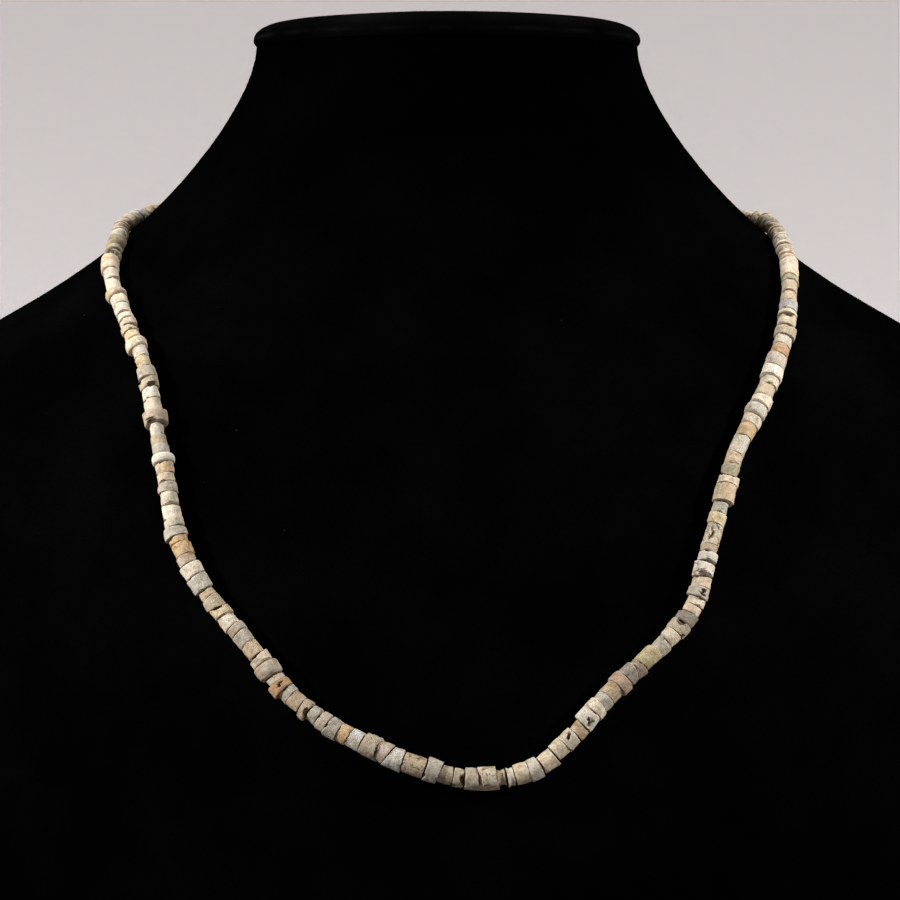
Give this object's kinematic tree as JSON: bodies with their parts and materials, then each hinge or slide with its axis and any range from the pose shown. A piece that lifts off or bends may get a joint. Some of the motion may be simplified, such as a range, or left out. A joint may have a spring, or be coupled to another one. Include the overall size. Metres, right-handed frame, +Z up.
{
  "type": "stone bead necklace on a neck bust",
  "caption": "One strand of irregular drilled stone drum and disc beads on a thread, worn round a velvet-covered neck bust with a flat base.",
  "frame": {"origin": "middle of the bust's flat base, on the surface it stands on", "axes": "+X to the right in the front view, along the shoulders; +Y from the chest to the back, so the front faces -Y; +Z up"},
  "size_m": [0.32, 0.188, 0.2977],
  "materials": {
    "velvet": "black velvet",
    "cap_velvet": "black velvet, slightly worn",
    "stone": "worn, matt, cream to tan",
    "cotton": "twisted cotton thread"
  },
  "bodies": {
    "root": {"neck_bust": "velvet", "neck_cap": "cap_velvet", "beads": "stone", "thread": "cotton"}
  },
  "joints": []
}
